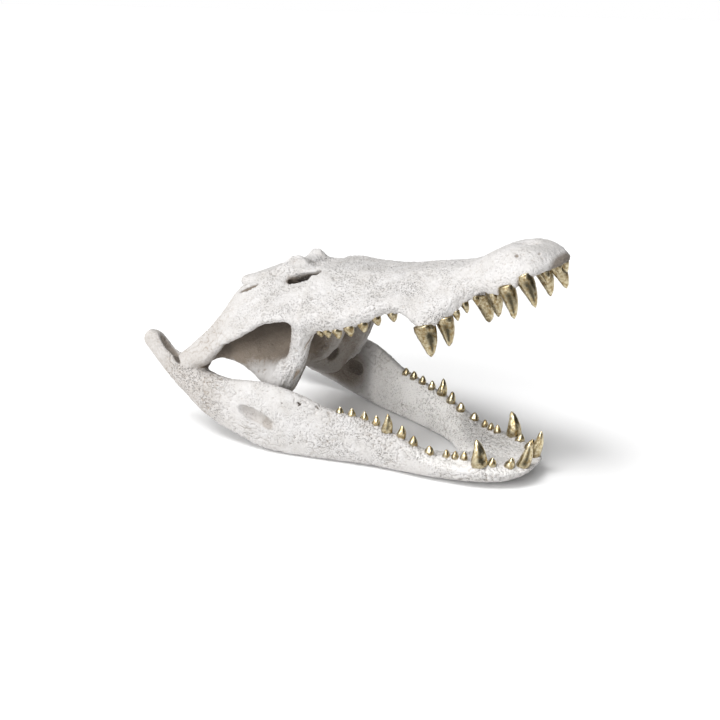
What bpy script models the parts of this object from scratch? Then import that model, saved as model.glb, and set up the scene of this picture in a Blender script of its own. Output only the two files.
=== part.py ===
import bpy
import bmesh
import math
import random
import numpy as np
from mathutils import Matrix, Vector

# A crocodile skull with its jaws open, cast in white resin with gilded teeth.
# Lengths in the tables are millimetres, and every mesh is made in metres.
# +X runs to the snout, +Y to the skull's left, +Z up. The skull is the same on both sides.

MM = 0.001
GAP = 0.3                   # space kept between two neighbouring pieces
JAW_RAISE = math.radians(22.0)  # how far the upper jaw is lifted
REST_PITCH = math.radians(2.2)  # turns the skull nose down until its lower jaw lies flat
JOINT_X = 4.0               # axis of the jaw joint, across the skull
JOINT_Z = 84.0
CONDYLE_RADIUS = 13.5       # the roll at the end of each quadrate
CONDYLE_INNER = 80.0        # its two ends, inside the outer wall of the lower jaw
CONDYLE_OUTER = 100.0
CONDYLE_FREE = 60.0         # the hollow for it is open up to here on the inside
SNOUT_CUT = 171.0           # the snout begins here, in front of the eye sockets
NOTCH_CUT = 350.0           # snout and premaxilla part here, in the notch behind the nose
CHEEK_CUT = 46.0            # braincase and cheeks part this far from the middle
PALATE_TOP = 8.0            # the hanging palate parts from what is above it at this height
PALATE_BACK = 50.0          # and from what is behind and in front of it at these stations
PALATE_FRONT = 158.0
FAR = 600.0                 # reach of the blocks that slice the bones, past all of them
VOXEL = 2.2                 # grid on which a bone's pieces melt together
UPPER_TRIANGLES = 5050      # what is left of each melted bone when it is thinned
RAMUS_TRIANGLES = 1640
TIP_SPREAD = 0.06           # how much the tooth widths differ from their table, as a share
BONE_COLOUR = (0.79, 0.77, 0.74, 1.0)
BONE_ROUGHNESS = 0.75

# One branch of the lower jaw, from the hook behind the joint to the chin:
# x, outer side, inner side at the top, inner side at the bottom, top edge, inner top edge, bottom
RAMUS = (
    (-68, 107, 98, 98, 101, 101, 92),
    (-60, 111, 93, 93, 110, 108, 85),
    (-46, 112, 92, 92, 110, 105, 73),
    (-30, 113, 91, 91, 95, 90, 60),
    (-15, 113, 86, 87, 87, 84, 48),
    (2, 113, 82, 86, 80, 80, 37),
    (20, 114, 84, 88, 74, 74, 26),
    (40, 114, 90, 92, 74, 74, 18),
    (70, 114, 93, 94, 78, 77, 11),
    (100, 112, 92, 92, 83, 82, 4),
    (125, 108, 89, 87, 82, 81, 1.5),
    (150, 101, 82, 78, 76, 74, 1.6),
    (180, 92, 72, 68, 65, 63, 3),
    (210, 83, 61, 58, 60, 58, 4.5),
    (240, 76, 56, 46, 54, 50, 5.8),
    (270, 72, 49, 30, 45, 39, 7),
    (300, 67, 20, 2, 36, 28, 8),
    (320, 63, -4, -4, 35, 26, 10),
    (345, 56, -4, -4, 36, 27, 12.5),
    (364, 47, -4, -4, 35, 29, 15.5),
    (378, 37, -4, -4, 34, 30, 19.5),
    (388, 25, -4, -4, 34, 31, 25),
    (393, 12, -4, -4, 35, 33, 30),
)

# The upper jaw in front of the eyes, in the lifted frame:
# s, roof height, half width of the flat roof, half width, height of the jaw edge, palate height
SNOUT = (
    (160, 66, 50, 93, 3, 0),
    (175, 63, 47, 92, 0, 0),
    (200, 55, 40, 90, -4, 0),
    (228, 47, 36, 86, -4, 1),
    (255, 41, 34, 80, 2, 2),
    (272, 39, 34, 76, -1, 1),
    (291, 37, 34, 76, -20, 0),
    (309, 34, 32, 73, -20, 0),
    (328, 32, 30, 60, -10, 1),
    (344, 33, 27, 46, -3, 3),
    (352, 35, 26, 43, 1, 3),
    (364, 38, 30, 49, -4, 2),
    (380, 40, 33, 52, -4, 2),
    (396, 38, 33, 50, 1, 3),
    (409, 33, 29, 45, 6, 5),
    (419, 26, 24, 36, 8, 7),
    (426, 19, 15, 25, 8, 8),
    (431, 13, 7, 12, 9, 9),
)

# The cheek, a slanting plate from the skull table down to the bar and back to the joint:
# s, upper edge out, upper edge height, lower edge out, lower edge height, thickness
CHEEK = (
    (-14, 103, 12, 110, -4, 20),
    (0, 104, 16, 112, -8, 22),
    (18, 96, 26, 111, -6, 20),
    (36, 77, 41, 109, 4, 15),
    (46, 66, 52, 107, 9, 14),
    (60, 52, 68, 106, 14, 13),
    (90, 42, 73, 104, 21, 13),
    (114, 40, 66, 101, 28, 13),
    (128, 49, 57, 99, 27, 12),
    (141, 52, 57, 98, 25, 12),
    (152, 53, 58, 96, 17, 14),
    (160, 52, 58, 94, 8, 17),
    (170, 50, 58, 92, 4, 20),
)

# The flat skull table and the raised strip between the eye sockets:
# s, half width, rim height, height along the middle, thickness
TABLE = (
    (52, 40, 73, 73, 12),
    (58, 46, 75, 74, 15),
    (85, 44, 74, 73, 16),
    (102, 40, 74, 73, 17),
    (111, 34, 77, 74, 18),
    (119, 26, 84, 76, 20),
    (130, 24, 83, 74, 20),
    (136, 22, 79, 71, 20),
    (141, 24, 68, 64, 20),
    (180, 30, 58, 56, 20),
)

# The braincase and the palate behind the snout: s, half width, top, bottom
KEEL = (
    (52, 14, 52, 26),
    (60, 24, 66, 12),
    (76, 27, 70, -36),
    (95, 27, 72, -45),
    (112, 26, 74, -45),
    (126, 24, 70, -38),
    (145, 22, 66, -20),
    (180, 24, 60, -2),
)

# The wing of the palate that hangs inside the lower jaw, from the middle outward:
# y, lower s, lower height, upper s, upper height, thickness
WING = (
    (0, 76, -52, 118, -14, 26),
    (20, 79, -64, 118, -20, 20),
    (40, 80, -75, 118, -28, 22),
    (58, 81, -79, 119, -32, 24),
    (72, 86, -70, 121, -32, 20),
    (82, 94, -58, 121, -36, 16),
)

# The slanting sheet behind the strut, seen through the large opening in the side:
# s, lower edge out, its height, upper edge out, its height, thickness
SHEET = (
    (22, 88, -4, 80, 22, 12),
    (34, 86, -9, 74, 26, 14),
    (48, 84, -17, 66, 30, 15),
    (62, 82, -32, 57, 32, 16),
    (76, 82, -50, 48, 32, 16),
    (92, 81, -60, 43, 28, 16),
    (106, 79, -56, 45, 20, 16),
    (119, 78, -42, 52, 8, 16),
    (130, 77, -26, 58, 0, 14),
)

# The strut from the wing's edge up to the cheek: s, y, height, radius along, radius across
STRUT = (
    (102, 71, -53, 9, 8),
    (114, 71, -40, 11, 8),
    (129, 71, -23, 12, 9),
    (142, 74, -5, 12, 11),
    (156, 78, 13, 17, 14),
)

# The brow over each eye socket: s, y, height, radius across, radius upward
BROW = (
    (98, 27, 66, 12, 8),
    (110, 27, 65, 12, 9),
    (122, 27, 63, 12, 10),
    (136, 27, 58, 12, 10),
    (150, 28, 54, 12, 10),
    (166, 30, 50, 12, 10),
)

# The wall from the joint to the wing: s, y, height, half thickness, half height
QUADRATE_WALL = (
    (-4, 92, 4, 8, 10),
    (14, 88, 6, 9, 16),
    (26, 81, 8, 9, 17),
    (40, 72, 8, 8, 20),
    (56, 61, 8, 8, 23),
    (72, 50, 6, 9, 26),
    (90, 42, 2, 10, 30),
    (110, 36, 2, 11, 28),
    (122, 34, 2, 12, 24),
)

# Teeth of the lower jaw from the chin back: x of the root, side, root height,
# length above the bone, width, lean forward and lean outward as shares of the length
LOWER_TEETH = (
    (382, 15, 33, 30, 14.0, 0.18, 0.03),
    (372, 28, 34, 11, 11.0, 0.25, 0.10),
    (356, 38, 35, 8, 10.0, 0.10, 0.10),
    (345, 46, 37, 25, 16.0, -0.22, 0.02),
    (326, 43, 35, 8, 8.0, 0.00, 0.00),
    (317, 46, 35, 7, 8.0, 0.00, 0.00),
    (308, 49, 35, 7, 8.0, 0.00, 0.00),
    (291, 56, 37, 7, 10.0, 0.00, 0.00),
    (272, 58, 42, 9, 10.0, 0.00, 0.00),
    (258, 60, 48, 12, 10.5, 0.05, 0.05),
    (243, 65, 53, 18, 12.0, 0.00, 0.05),
    (229, 65, 56, 9, 9.0, 0.00, 0.00),
    (215, 67, 59, 8, 9.0, 0.00, 0.00),
    (201, 71, 60, 8, 9.0, 0.00, 0.00),
    (188, 75, 61, 7, 9.0, 0.00, 0.00),
)

# Teeth of the upper jaw from the nose back, in the lifted frame, listed alike
UPPER_TEETH = (
    (424, 10, 9, 8, 8.0, 0.10, 0.10),
    (416, 25, 8, 12, 9.5, 0.10, 0.15),
    (401, 41, 6, 29, 17.0, 0.17, 0.12),
    (383, 47, 0, 29, 17.0, 0.03, 0.12),
    (366, 45, -3, 9, 8.0, 0.00, 0.05),
    (345, 42, -3, 8, 7.0, 0.00, 0.00),
    (335, 49, -6, 9, 8.0, 0.00, 0.00),
    (326, 55, -12, 8, 8.0, 0.00, 0.00),
    (314, 60, -17, 26, 18.0, -0.07, 0.05),
    (295, 70, -20, 29, 21.0, -0.02, 0.05),
    (262, 70, 1, 8, 10.0, 0.00, 0.00),
    (245, 75, 1, 8, 10.0, 0.00, 0.00),
    (229, 79, -2, 9, 10.5, 0.00, 0.00),
    (213, 82, -3, 9, 11.0, 0.00, 0.00),
    (198, 83, -3, 9, 10.5, 0.00, 0.00),
    (186, 84, -2, 7, 9.0, 0.00, 0.00),
    (178, 85, -1, 5, 8.0, 0.00, 0.00),
)
ROOT_DEPTH = 7.0            # how far a tooth's root is sunk into the bone
BIG_TOOTH = 15.0            # teeth longer than this get a rounder form

# Hollows sunk into the bones: centre, three radii, turn about the cross axis
OUTER_JAW_PIT = ((99, 117, 44), (23, 10, 8), 14)
INNER_JAW_PIT = ((106, 88, 43), (13, 7, 10), 10)
CHOANA = ((121, 0, -44), (9, 14, 7), -36)
HOOK_TROUGH = ((-31, 101, 98), (22, 6.5, 6), 44)
EYE_SOCKET_BACK = ((140, 42.5, 60), (14, 7, 22), 0)
EYE_SOCKET_FRONT = ((155, 42.5, 60), (14, 7, 22), 0)
NOSTRIL = ((398, 0, 41), (15, 13, 11), 0)
TABLE_PIT = ((80, 21, 80), (11, 8, 14), 0)


def clear_scene():
    for old in list(bpy.data.objects):
        bpy.data.objects.remove(old, do_unlink=True)


def smooth_rows(rows, positions):
    # a curve through each column that never swings past its own stations
    table = np.array(rows, float)
    x = table[:, 0]
    values = table[:, 1:]
    rate = np.diff(values, axis=0) / np.diff(x)[:, None]
    product = rate[:-1] * rate[1:]
    total = rate[:-1] + rate[1:]
    slope = np.empty_like(values)
    slope[0] = rate[0]
    slope[-1] = rate[-1]
    slope[1:-1] = np.where(product > 0, 2 * product / np.where(total == 0, 1, total), 0)
    out = []
    for position in positions:
        i = min(max(np.searchsorted(x, position) - 1, 0), len(x) - 2)
        width = x[i + 1] - x[i]
        t = (position - x[i]) / width
        row = (
            values[i] * (2 * t**3 - 3 * t**2 + 1)
            + slope[i] * width * (t**3 - 2 * t**2 + t)
            + values[i + 1] * (3 * t**2 - 2 * t**3)
            + slope[i + 1] * width * (t**3 - t**2)
        )
        out.append([position, *row])
    return out


def stations(rows, step):
    # positions every step or so that always include the table's own rows
    places = []
    for near, far in zip(rows[:-1], rows[1:]):
        count = max(1, round((far[0] - near[0]) / step))
        places += [near[0] + (far[0] - near[0]) * k / count for k in range(count)]
    return places + [rows[-1][0]]


def rounded_quad(corners, sides, power):
    # a superellipse stretched to four corners: outer top, inner top, inner bottom, outer bottom
    outer_top, inner_top, inner_bottom, outer_bottom = (np.array(c, float) for c in corners)
    points = []
    for k in range(sides):
        angle = 2 * math.pi * (k + 0.5) / sides
        cos, sin = math.cos(angle), math.sin(angle)
        u = math.copysign(abs(cos) ** (2 / power), cos)
        v = math.copysign(abs(sin) ** (2 / power), sin)
        top = outer_top * (1 + u) / 2 + inner_top * (1 - u) / 2
        bottom = outer_bottom * (1 + u) / 2 + inner_bottom * (1 - u) / 2
        points.append(top * (1 + v) / 2 + bottom * (1 - v) / 2)
    return points


def closed_curve(points, sides):
    # an even walk round a smooth closed curve through the points
    base = np.array(points, float)
    count = len(base)
    walk = []
    for i in range(count):
        p0, p1, p2, p3 = (base[(i + k) % count] for k in (-1, 0, 1, 2))
        for t in np.linspace(0, 1, 8, endpoint=False):
            walk.append(
                0.5 * (2 * p1 + (p2 - p0) * t + (2 * p0 - 5 * p1 + 4 * p2 - p3) * t**2
                       + (3 * p1 - p0 - 3 * p2 + p3) * t**3)
            )
    walk = np.array(walk + [walk[0]])
    reach = np.concatenate([[0], np.cumsum(np.linalg.norm(np.diff(walk, axis=0), axis=1))])
    marks = np.linspace(0, reach[-1], sides, endpoint=False)
    return [np.array([np.interp(m, reach, walk[:, 0]), np.interp(m, reach, walk[:, 1])]) for m in marks]


def new_object(name, mesh):
    body = bpy.data.objects.new(name, mesh)
    bpy.context.scene.collection.objects.link(body)
    return body


def loft(name, rings, place=Matrix.Identity(4)):
    # closed skin over rings of points in millimetres, with a face over each end
    form = bmesh.new()
    loops = [[form.verts.new(place @ (Vector(point) * MM)) for point in ring] for ring in rings]
    for near, far in zip(loops[:-1], loops[1:]):
        for k in range(len(near)):
            after = (k + 1) % len(near)
            form.faces.new((near[k], near[after], far[after], far[k]))
    form.faces.new(loops[0])
    form.faces.new(loops[-1])
    bmesh.ops.recalc_face_normals(form, faces=form.faces)
    mesh = bpy.data.meshes.new(name)
    form.to_mesh(mesh)
    form.free()
    return new_object(name, mesh)


def tube(name, rows, step, across, place, side):
    # a bent rod of oval sections that stand square to its run
    dense = smooth_rows([(i, *row) for i, row in enumerate(rows)], np.arange(0, len(rows) - 0.99, step))
    centres = [Vector((row[1], side * row[2], row[3])) for row in dense]
    rings = []
    for i, row in enumerate(dense):
        ahead = centres[min(i + 1, len(centres) - 1)]
        behind = centres[max(i - 1, 0)]
        run = (ahead - behind).normalized()
        first = Vector(across).cross(run).normalized()
        second = run.cross(first)
        rings.append([
            centres[i]
            + first * row[4] * math.cos(2 * math.pi * k / 12)
            + second * row[5] * math.sin(2 * math.pi * k / 12)
            for k in range(12)
        ])
    return loft(name, rings, place)


def lifted():
    # the frame of the upper jaw, hinged at the joint and raised
    return (
        Matrix.Translation(Vector((0, 0, 85)) * MM)
        @ Matrix.Rotation(-JAW_RAISE, 4, 'Y')
    )


def ramus_rings(side):
    rings = []
    for x, outer, inner_top, inner_low, top, top_in, bottom in smooth_rows(RAMUS, stations(RAMUS, 8)):
        tuck = 0.06 * (top - bottom)
        corners = ((outer - tuck, top), (inner_top, top_in), (inner_low, bottom), (outer - tuck, bottom))
        flat = rounded_quad(corners, 20, 3.2)
        belly = [p + np.array([tuck * (1 - ((2 * p[1] - top - bottom) / (top - bottom)) ** 2), 0])
                 if p[0] > (outer + inner_low) / 2 else p for p in flat]
        rings.append([(x, side * p[0], p[1]) for p in belly])
    return rings


def snout_rings():
    rings = []
    for s, roof, flat, wide, edge, palate in smooth_rows(SNOUT, stations(SNOUT, 6)):
        rise = roof - edge
        right = [
            (flat * 0.55, roof - 0.02 * rise),
            (flat, roof - 0.10 * rise),
            (wide * 0.5 + flat * 0.5, roof - 0.36 * rise),
            (wide, edge + 0.34 * rise),
            (wide * 0.985, edge + 0.08 * rise),
            (wide - 0.06 * wide - 1, edge),
            (wide * 0.84 - 1, edge + 0.10 * rise),
            (wide * 0.5, palate + 0.02 * rise),
        ]
        left = [(-y, h) for y, h in reversed(right)]
        outline = closed_curve(right + left, 40)
        rings.append([(s, p[0], p[1]) for p in outline])
    return rings


def sheet_rings(side):
    rings = []
    for s, y_low, h_low, y_high, h_high, thick in smooth_rows(SHEET, stations(SHEET, 8)):
        low = np.array([y_low, h_low])
        high = np.array([y_high, h_high])
        run = (high - low) / np.linalg.norm(high - low)
        inward = np.array([-run[1], run[0]])
        corners = (high, high + inward * thick, low + inward * thick, low)
        rings.append([(s, side * p[0], p[1]) for p in rounded_quad(corners, 20, 3.4)])
    return rings


def cheek_rings(side):
    rings = []
    for s, y_top, h_top, y_low, h_low, thick in smooth_rows(CHEEK, stations(CHEEK, 8)):
        run = np.array([y_low - y_top, h_low - h_top], float)
        run /= np.linalg.norm(run)
        inward = np.array([run[1], -run[0]])
        top = np.array([y_top, h_top])
        low = np.array([y_low, h_low])
        corners = (top, top + inward * thick, low + inward * thick, low)
        flat = rounded_quad(corners, 20, 3.4)
        rings.append([(s, side * p[0], p[1]) for p in flat])
    return rings


def table_rings():
    rings = []
    for s, wide, rim, middle, thick in smooth_rows(TABLE, stations(TABLE, 7)):
        right = [
            (wide * 0.45, middle + 0.2 * (rim - middle)),
            (wide * 0.85, rim),
            (wide, rim - 3),
            (wide * 0.94, rim - 0.6 * thick),
            (wide * 0.7, rim - thick),
        ]
        left = [(-y, h) for y, h in reversed(right)]
        rings.append([(s, p[0], p[1]) for p in closed_curve(right + left, 28)])
    return rings


def keel_rings():
    rings = []
    for s, wide, top, bottom in smooth_rows(KEEL, stations(KEEL, 8)):
        corners = ((wide, top), (-wide, top), (-wide * 0.8, bottom), (wide * 0.8, bottom))
        rings.append([(s, p[0], p[1]) for p in rounded_quad(corners, 20, 2.8)])
    return rings


def wing_rings(side):
    rings = []
    for y, s_low, h_low, s_high, h_high, thick in smooth_rows(WING, stations(WING, 7)):
        run = np.array([s_high - s_low, h_high - h_low], float)
        run /= np.linalg.norm(run)
        behind = np.array([-run[1], run[0]])
        low = np.array([s_low, h_low])
        high = np.array([s_high, h_high])
        corners = (high, high + behind * thick, low + behind * thick, low)
        rings.append([(p[0], side * y, p[1]) for p in rounded_quad(corners, 20, 3.4)])
    return rings


def take(body):
    # the object's evaluated mesh, with its modifiers used up
    graph = bpy.context.evaluated_depsgraph_get()
    mesh = bpy.data.meshes.new_from_object(body.evaluated_get(graph))
    body.modifiers.clear()
    body.data = mesh
    return body


def keep_largest(body):
    form = bmesh.new()
    form.from_mesh(body.data)
    left = set(form.verts)
    groups = []
    while left:
        front = [left.pop()]
        group = list(front)
        while front:
            vert = front.pop()
            for edge in vert.link_edges:
                other = edge.other_vert(vert)
                if other in left:
                    left.remove(other)
                    front.append(other)
                    group.append(other)
        groups.append(group)
    groups.sort(key=len)
    bmesh.ops.delete(form, geom=[v for group in groups[:-1] for v in group], context='VERTS')
    form.to_mesh(body.data)
    form.free()
    return body


def melt(name, pieces, triangles, smoothing):
    # pieces of one bone melted together, softened and thinned to a set count of triangles
    form = bmesh.new()
    for piece in pieces:
        piece.data.transform(piece.matrix_world)
        form.from_mesh(piece.data)
        bpy.data.objects.remove(piece, do_unlink=True)
    mesh = bpy.data.meshes.new(name)
    form.to_mesh(mesh)
    form.free()
    body = new_object(name, mesh)
    remesh = body.modifiers.new('Melt', 'REMESH')
    remesh.mode = 'VOXEL'
    remesh.voxel_size = VOXEL * MM
    soften = body.modifiers.new('Soften', 'SMOOTH')
    soften.factor = 0.5
    soften.iterations = smoothing
    keep_largest(take(body))
    count = sum(len(face.vertices) - 2 for face in body.data.polygons)
    thin = body.modifiers.new('Thin', 'DECIMATE')
    thin.ratio = triangles / count
    return take(body)


def boolean(body, other, operation):
    cut = body.modifiers.new('Cut', 'BOOLEAN')
    cut.operation = operation
    cut.object = other
    cut.solver = 'EXACT'
    take(body)
    bpy.data.objects.remove(other, do_unlink=True)
    return body


def slab(name, low, high, place=Matrix.Identity(4)):
    # a box between two corners in millimetres
    form = bmesh.new()
    bmesh.ops.create_cube(form, size=1.0)
    for vert in form.verts:
        corner = [low[i] if vert.co[i] < 0 else high[i] for i in range(3)]
        vert.co = place @ (Vector(corner) * MM)
    mesh = bpy.data.meshes.new(name)
    form.to_mesh(mesh)
    form.free()
    return new_object(name, mesh)


def oval(name, centre, radii, place=Matrix.Identity(4), turn=Matrix.Identity(4)):
    form = bmesh.new()
    bmesh.ops.create_icosphere(form, subdivisions=3, radius=1.0)
    size = Matrix.Diagonal((*radii, 1))
    move = Matrix.Translation(Vector(centre))
    for vert in form.verts:
        vert.co = place @ ((move @ turn @ size @ vert.co) * MM)
    mesh = bpy.data.meshes.new(name)
    form.to_mesh(mesh)
    form.free()
    return new_object(name, mesh)


def roll(name, side, radius, inner, outer):
    # a short bar across the skull on the axis of the jaw joint
    rings = []
    for y, share in ((inner, 0.7), (inner + 3, 1.0), (outer - 3, 1.0), (outer, 0.7)):
        rings.append([
            (
                JOINT_X + radius * share * math.cos(2 * math.pi * k / 20),
                side * y,
                JOINT_Z + radius * share * math.sin(2 * math.pi * k / 20),
            )
            for k in range(20)
        ])
    return loft(name, rings)


def tooth(name, root, length, wide, forward, outward, side, up, place):
    # a curved cone whose root ring is sunk in the bone
    big = length > BIG_TOOTH
    sides = 8 if big else 6
    shares = (-ROOT_DEPTH / length, 0.0, 0.35, 0.7, 0.92) if big else (-ROOT_DEPTH / length, 0.1, 0.65)
    widths = (0.8, 1.0, 0.88, 0.6, 0.3) if big else (0.8, 1.0, 0.72)
    rings = []
    for share, width in zip(shares, widths):
        bend = share * abs(share)
        centre = (
            root[0] + forward * length * share,
            side * (root[1] + outward * length * (share - 0.5 * bend)),
            root[2] + up * length * share,
        )
        rings.append([
            (
                centre[0] + wide / 2 * width * math.cos(2 * math.pi * k / sides),
                centre[1] + wide / 2 * 0.86 * width * math.sin(2 * math.pi * k / sides),
                centre[2],
            )
            for k in range(sides)
        ])
    tip = (
        root[0] + forward * length,
        side * (root[1] + outward * length * 0.5),
        root[2] + up * length,
    )
    form = bmesh.new()
    loops = [[form.verts.new(place @ (Vector(point) * MM)) for point in ring] for ring in rings]
    for near, far in zip(loops[:-1], loops[1:]):
        for k in range(sides):
            after = (k + 1) % sides
            form.faces.new((near[k], near[after], far[after], far[k]))
    form.faces.new(loops[0])
    point = form.verts.new(place @ (Vector(tip) * MM))
    for k in range(sides):
        form.faces.new((loops[-1][k], loops[-1][(k + 1) % sides], point))
    bmesh.ops.recalc_face_normals(form, faces=form.faces)
    mesh = bpy.data.meshes.new(name)
    form.to_mesh(mesh)
    form.free()
    return new_object(name, mesh)


def teeth_of(table, sides, up, place, low=-FAR, high=FAR):
    # the teeth rooted between two stations, a little uneven and the same on both sides
    teeth = []
    for number, (x, y, z, length, wide, forward, outward) in enumerate(table):
        width = wide * random.Random(number).uniform(1 - TIP_SPREAD, 1 + TIP_SPREAD)
        for side in sides:
            if low < x < high:
                teeth.append(tooth('Tooth', (x, y, z), length, width, forward, outward, side, up, place))
    return teeth


def set_teeth(body, teeth):
    # one union joins a bone and all its teeth
    group = bpy.data.collections.new('Teeth')
    bpy.context.scene.collection.children.link(group)
    for piece in teeth:
        bpy.context.scene.collection.objects.unlink(piece)
        group.objects.link(piece)
    join = body.modifiers.new('Teeth', 'BOOLEAN')
    join.operation = 'UNION'
    join.operand_type = 'COLLECTION'
    join.collection = group
    join.solver = 'EXACT'
    take(body)
    for piece in teeth:
        bpy.data.objects.remove(piece, do_unlink=True)
    bpy.data.collections.remove(group)
    return keep_largest(body)


def bone_material(name):
    material = bpy.data.materials.new(name)
    material.use_nodes = True
    shader = material.node_tree.nodes['Principled BSDF']
    shader.inputs['Base Color'].default_value = BONE_COLOUR
    shader.inputs['Roughness'].default_value = BONE_ROUGHNESS
    shader.inputs['Metallic'].default_value = 0.0
    return material


def make_ramus(name, side):
    return melt(name, [loft('Ramus', ramus_rings(side))], RAMUS_TRIANGLES, 4)


def finish_ramus(body, side):
    # the hollow of the joint, the pits, the flat face in the middle of the chin and the teeth
    boolean(body, roll('Hollow', side, CONDYLE_RADIUS + GAP, CONDYLE_FREE, CONDYLE_OUTER + GAP), 'DIFFERENCE')
    pit(body, OUTER_JAW_PIT, side)
    pit(body, INNER_JAW_PIT, side)
    pit(body, HOOK_TROUGH, side)
    near, far = sorted((side * GAP / 2, side * FAR))
    boolean(body, slab('Half', (-FAR, near, -FAR), (FAR, far, FAR)), 'INTERSECT')
    return set_teeth(body, teeth_of(LOWER_TEETH, (side,), 1, Matrix.Identity(4)))


def swollen(body, amount):
    # a copy of a bone that stands proud of it all round
    copy = new_object('Swollen', body.data.copy())
    grow = copy.modifiers.new('Grow', 'DISPLACE')
    grow.strength = amount * MM
    grow.mid_level = 0.0
    return take(copy)


def make_upper(right, left):
    # the whole upper jaw in one, kept clear of the two branches of the lower jaw
    place = lifted()
    pieces = [
        loft('Snout', snout_rings(), place),
        loft('Table', table_rings(), place),
        loft('Keel', keel_rings(), place),
    ]
    for side in (-1, 1):
        pieces.append(loft('Cheek', cheek_rings(side), place))
        pieces.append(loft('Wing', wing_rings(side), place))
        pieces.append(tube('Strut', STRUT, 0.5, (0, 1, 0), place, side))
        pieces.append(tube('Wall', QUADRATE_WALL, 0.5, (0, 0, 1), place, side))
        pieces.append(tube('Brow', BROW, 0.5, (0, 0, 1), place, side))
        pieces.append(loft('Sheet', sheet_rings(side), place))
    body = melt('upper', pieces, UPPER_TRIANGLES, 3)
    for side, ramus in ((-1, right), (1, left)):
        boolean(body, swollen(ramus, GAP), 'DIFFERENCE')
        boolean(body, roll('Condyle', side, CONDYLE_RADIUS, CONDYLE_INNER, CONDYLE_OUTER), 'UNION')
    return keep_largest(body)


def pit(body, shape, side=1, place=Matrix.Identity(4)):
    # an oval hollow sunk into a bone
    centre, radii, turn = shape
    spin = Matrix.Rotation(math.radians(turn), 4, 'Y')
    spot = (centre[0], side * centre[1], centre[2])
    return boolean(body, oval('Pit', spot, radii, place, spin), 'DIFFERENCE')


def slice_of(name, source, low, high):
    # the part of the upper jaw between two corners of a block in the lifted frame
    body = new_object(name, source.data.copy())
    return boolean(body, slab('Slice', low, high, lifted()), 'INTERSECT')


def without_palate(body):
    # takes away the block that the hanging palate fills, with the gap round it
    block = slab(
        'Block',
        (PALATE_BACK - GAP / 2, -FAR, -FAR),
        (PALATE_FRONT + GAP / 2, FAR, PALATE_TOP + GAP / 2),
        lifted(),
    )
    return keep_largest(boolean(body, block, 'DIFFERENCE'))


def finish(body):
    body.data.materials.clear()
    body.data.materials.append(bone_material(body.name + '_resin'))
    body.data.shade_smooth()
    body.data.set_sharp_from_angle(angle=math.radians(50))


def stand_on_origin(bodies):
    # the jaw is laid flat, and the middle of the outline at floor level becomes the origin
    lay = Matrix.Rotation(REST_PITCH, 4, 'Y')
    for body in bodies:
        body.data.transform(lay)
    corners = np.array([v.co for body in bodies for v in body.data.vertices])
    low = corners.min(axis=0)
    high = corners.max(axis=0)
    offset = Vector((-(low[0] + high[0]) / 2, -(low[1] + high[1]) / 2, -low[2]))
    for body in bodies:
        body.data.transform(Matrix.Translation(offset))
    return offset


clear_scene()
mandible_right = make_ramus('mandible_right', -1)
mandible_left = make_ramus('mandible_left', 1)
upper = make_upper(mandible_right, mandible_left)
pit(upper, CHOANA, 1, lifted())
pit(upper, NOSTRIL, 1, lifted())
for side in (-1, 1):
    pit(upper, TABLE_PIT, side, lifted())
    pit(upper, EYE_SOCKET_BACK, side, lifted())
    pit(upper, EYE_SOCKET_FRONT, side, lifted())
half = GAP / 2
premaxilla = slice_of('premaxilla', upper, (NOTCH_CUT + half, -FAR, -FAR), (FAR, FAR, FAR))
snout = slice_of('snout', upper, (SNOUT_CUT + half, -FAR, -FAR), (NOTCH_CUT - half, FAR, FAR))
palate = keep_largest(slice_of(
    'palate', upper,
    (PALATE_BACK + half, -FAR, -FAR), (PALATE_FRONT - half, FAR, PALATE_TOP - half),
))
braincase = without_palate(slice_of(
    'braincase', upper,
    (-FAR, half - CHEEK_CUT, -FAR), (SNOUT_CUT - half, CHEEK_CUT - half, FAR),
))
cheek_right = without_palate(slice_of(
    'cheek_right', upper,
    (-FAR, -FAR, -FAR), (SNOUT_CUT - half, -CHEEK_CUT - half, FAR),
))
cheek_left = without_palate(slice_of(
    'cheek_left', upper,
    (-FAR, CHEEK_CUT + half, -FAR), (SNOUT_CUT - half, FAR, FAR),
))
bpy.data.objects.remove(upper, do_unlink=True)
for bone, low, high in ((premaxilla, NOTCH_CUT, FAR), (snout, SNOUT_CUT, NOTCH_CUT)):
    set_teeth(bone, teeth_of(UPPER_TEETH, (-1, 1), -1, lifted(), low, high))
finish_ramus(mandible_right, -1)
finish_ramus(mandible_left, 1)
nodes = [braincase, cheek_right, cheek_left, palate, snout, premaxilla, mandible_right, mandible_left]
offset = stand_on_origin(nodes)
for node in nodes:
    finish(node)
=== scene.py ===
import bpy
import bmesh
import math
import random
import numpy as np
from mathutils import Matrix, Vector, noise
from mathutils.bvhtree import BVHTree
from mathutils.kdtree import KDTree


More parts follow.
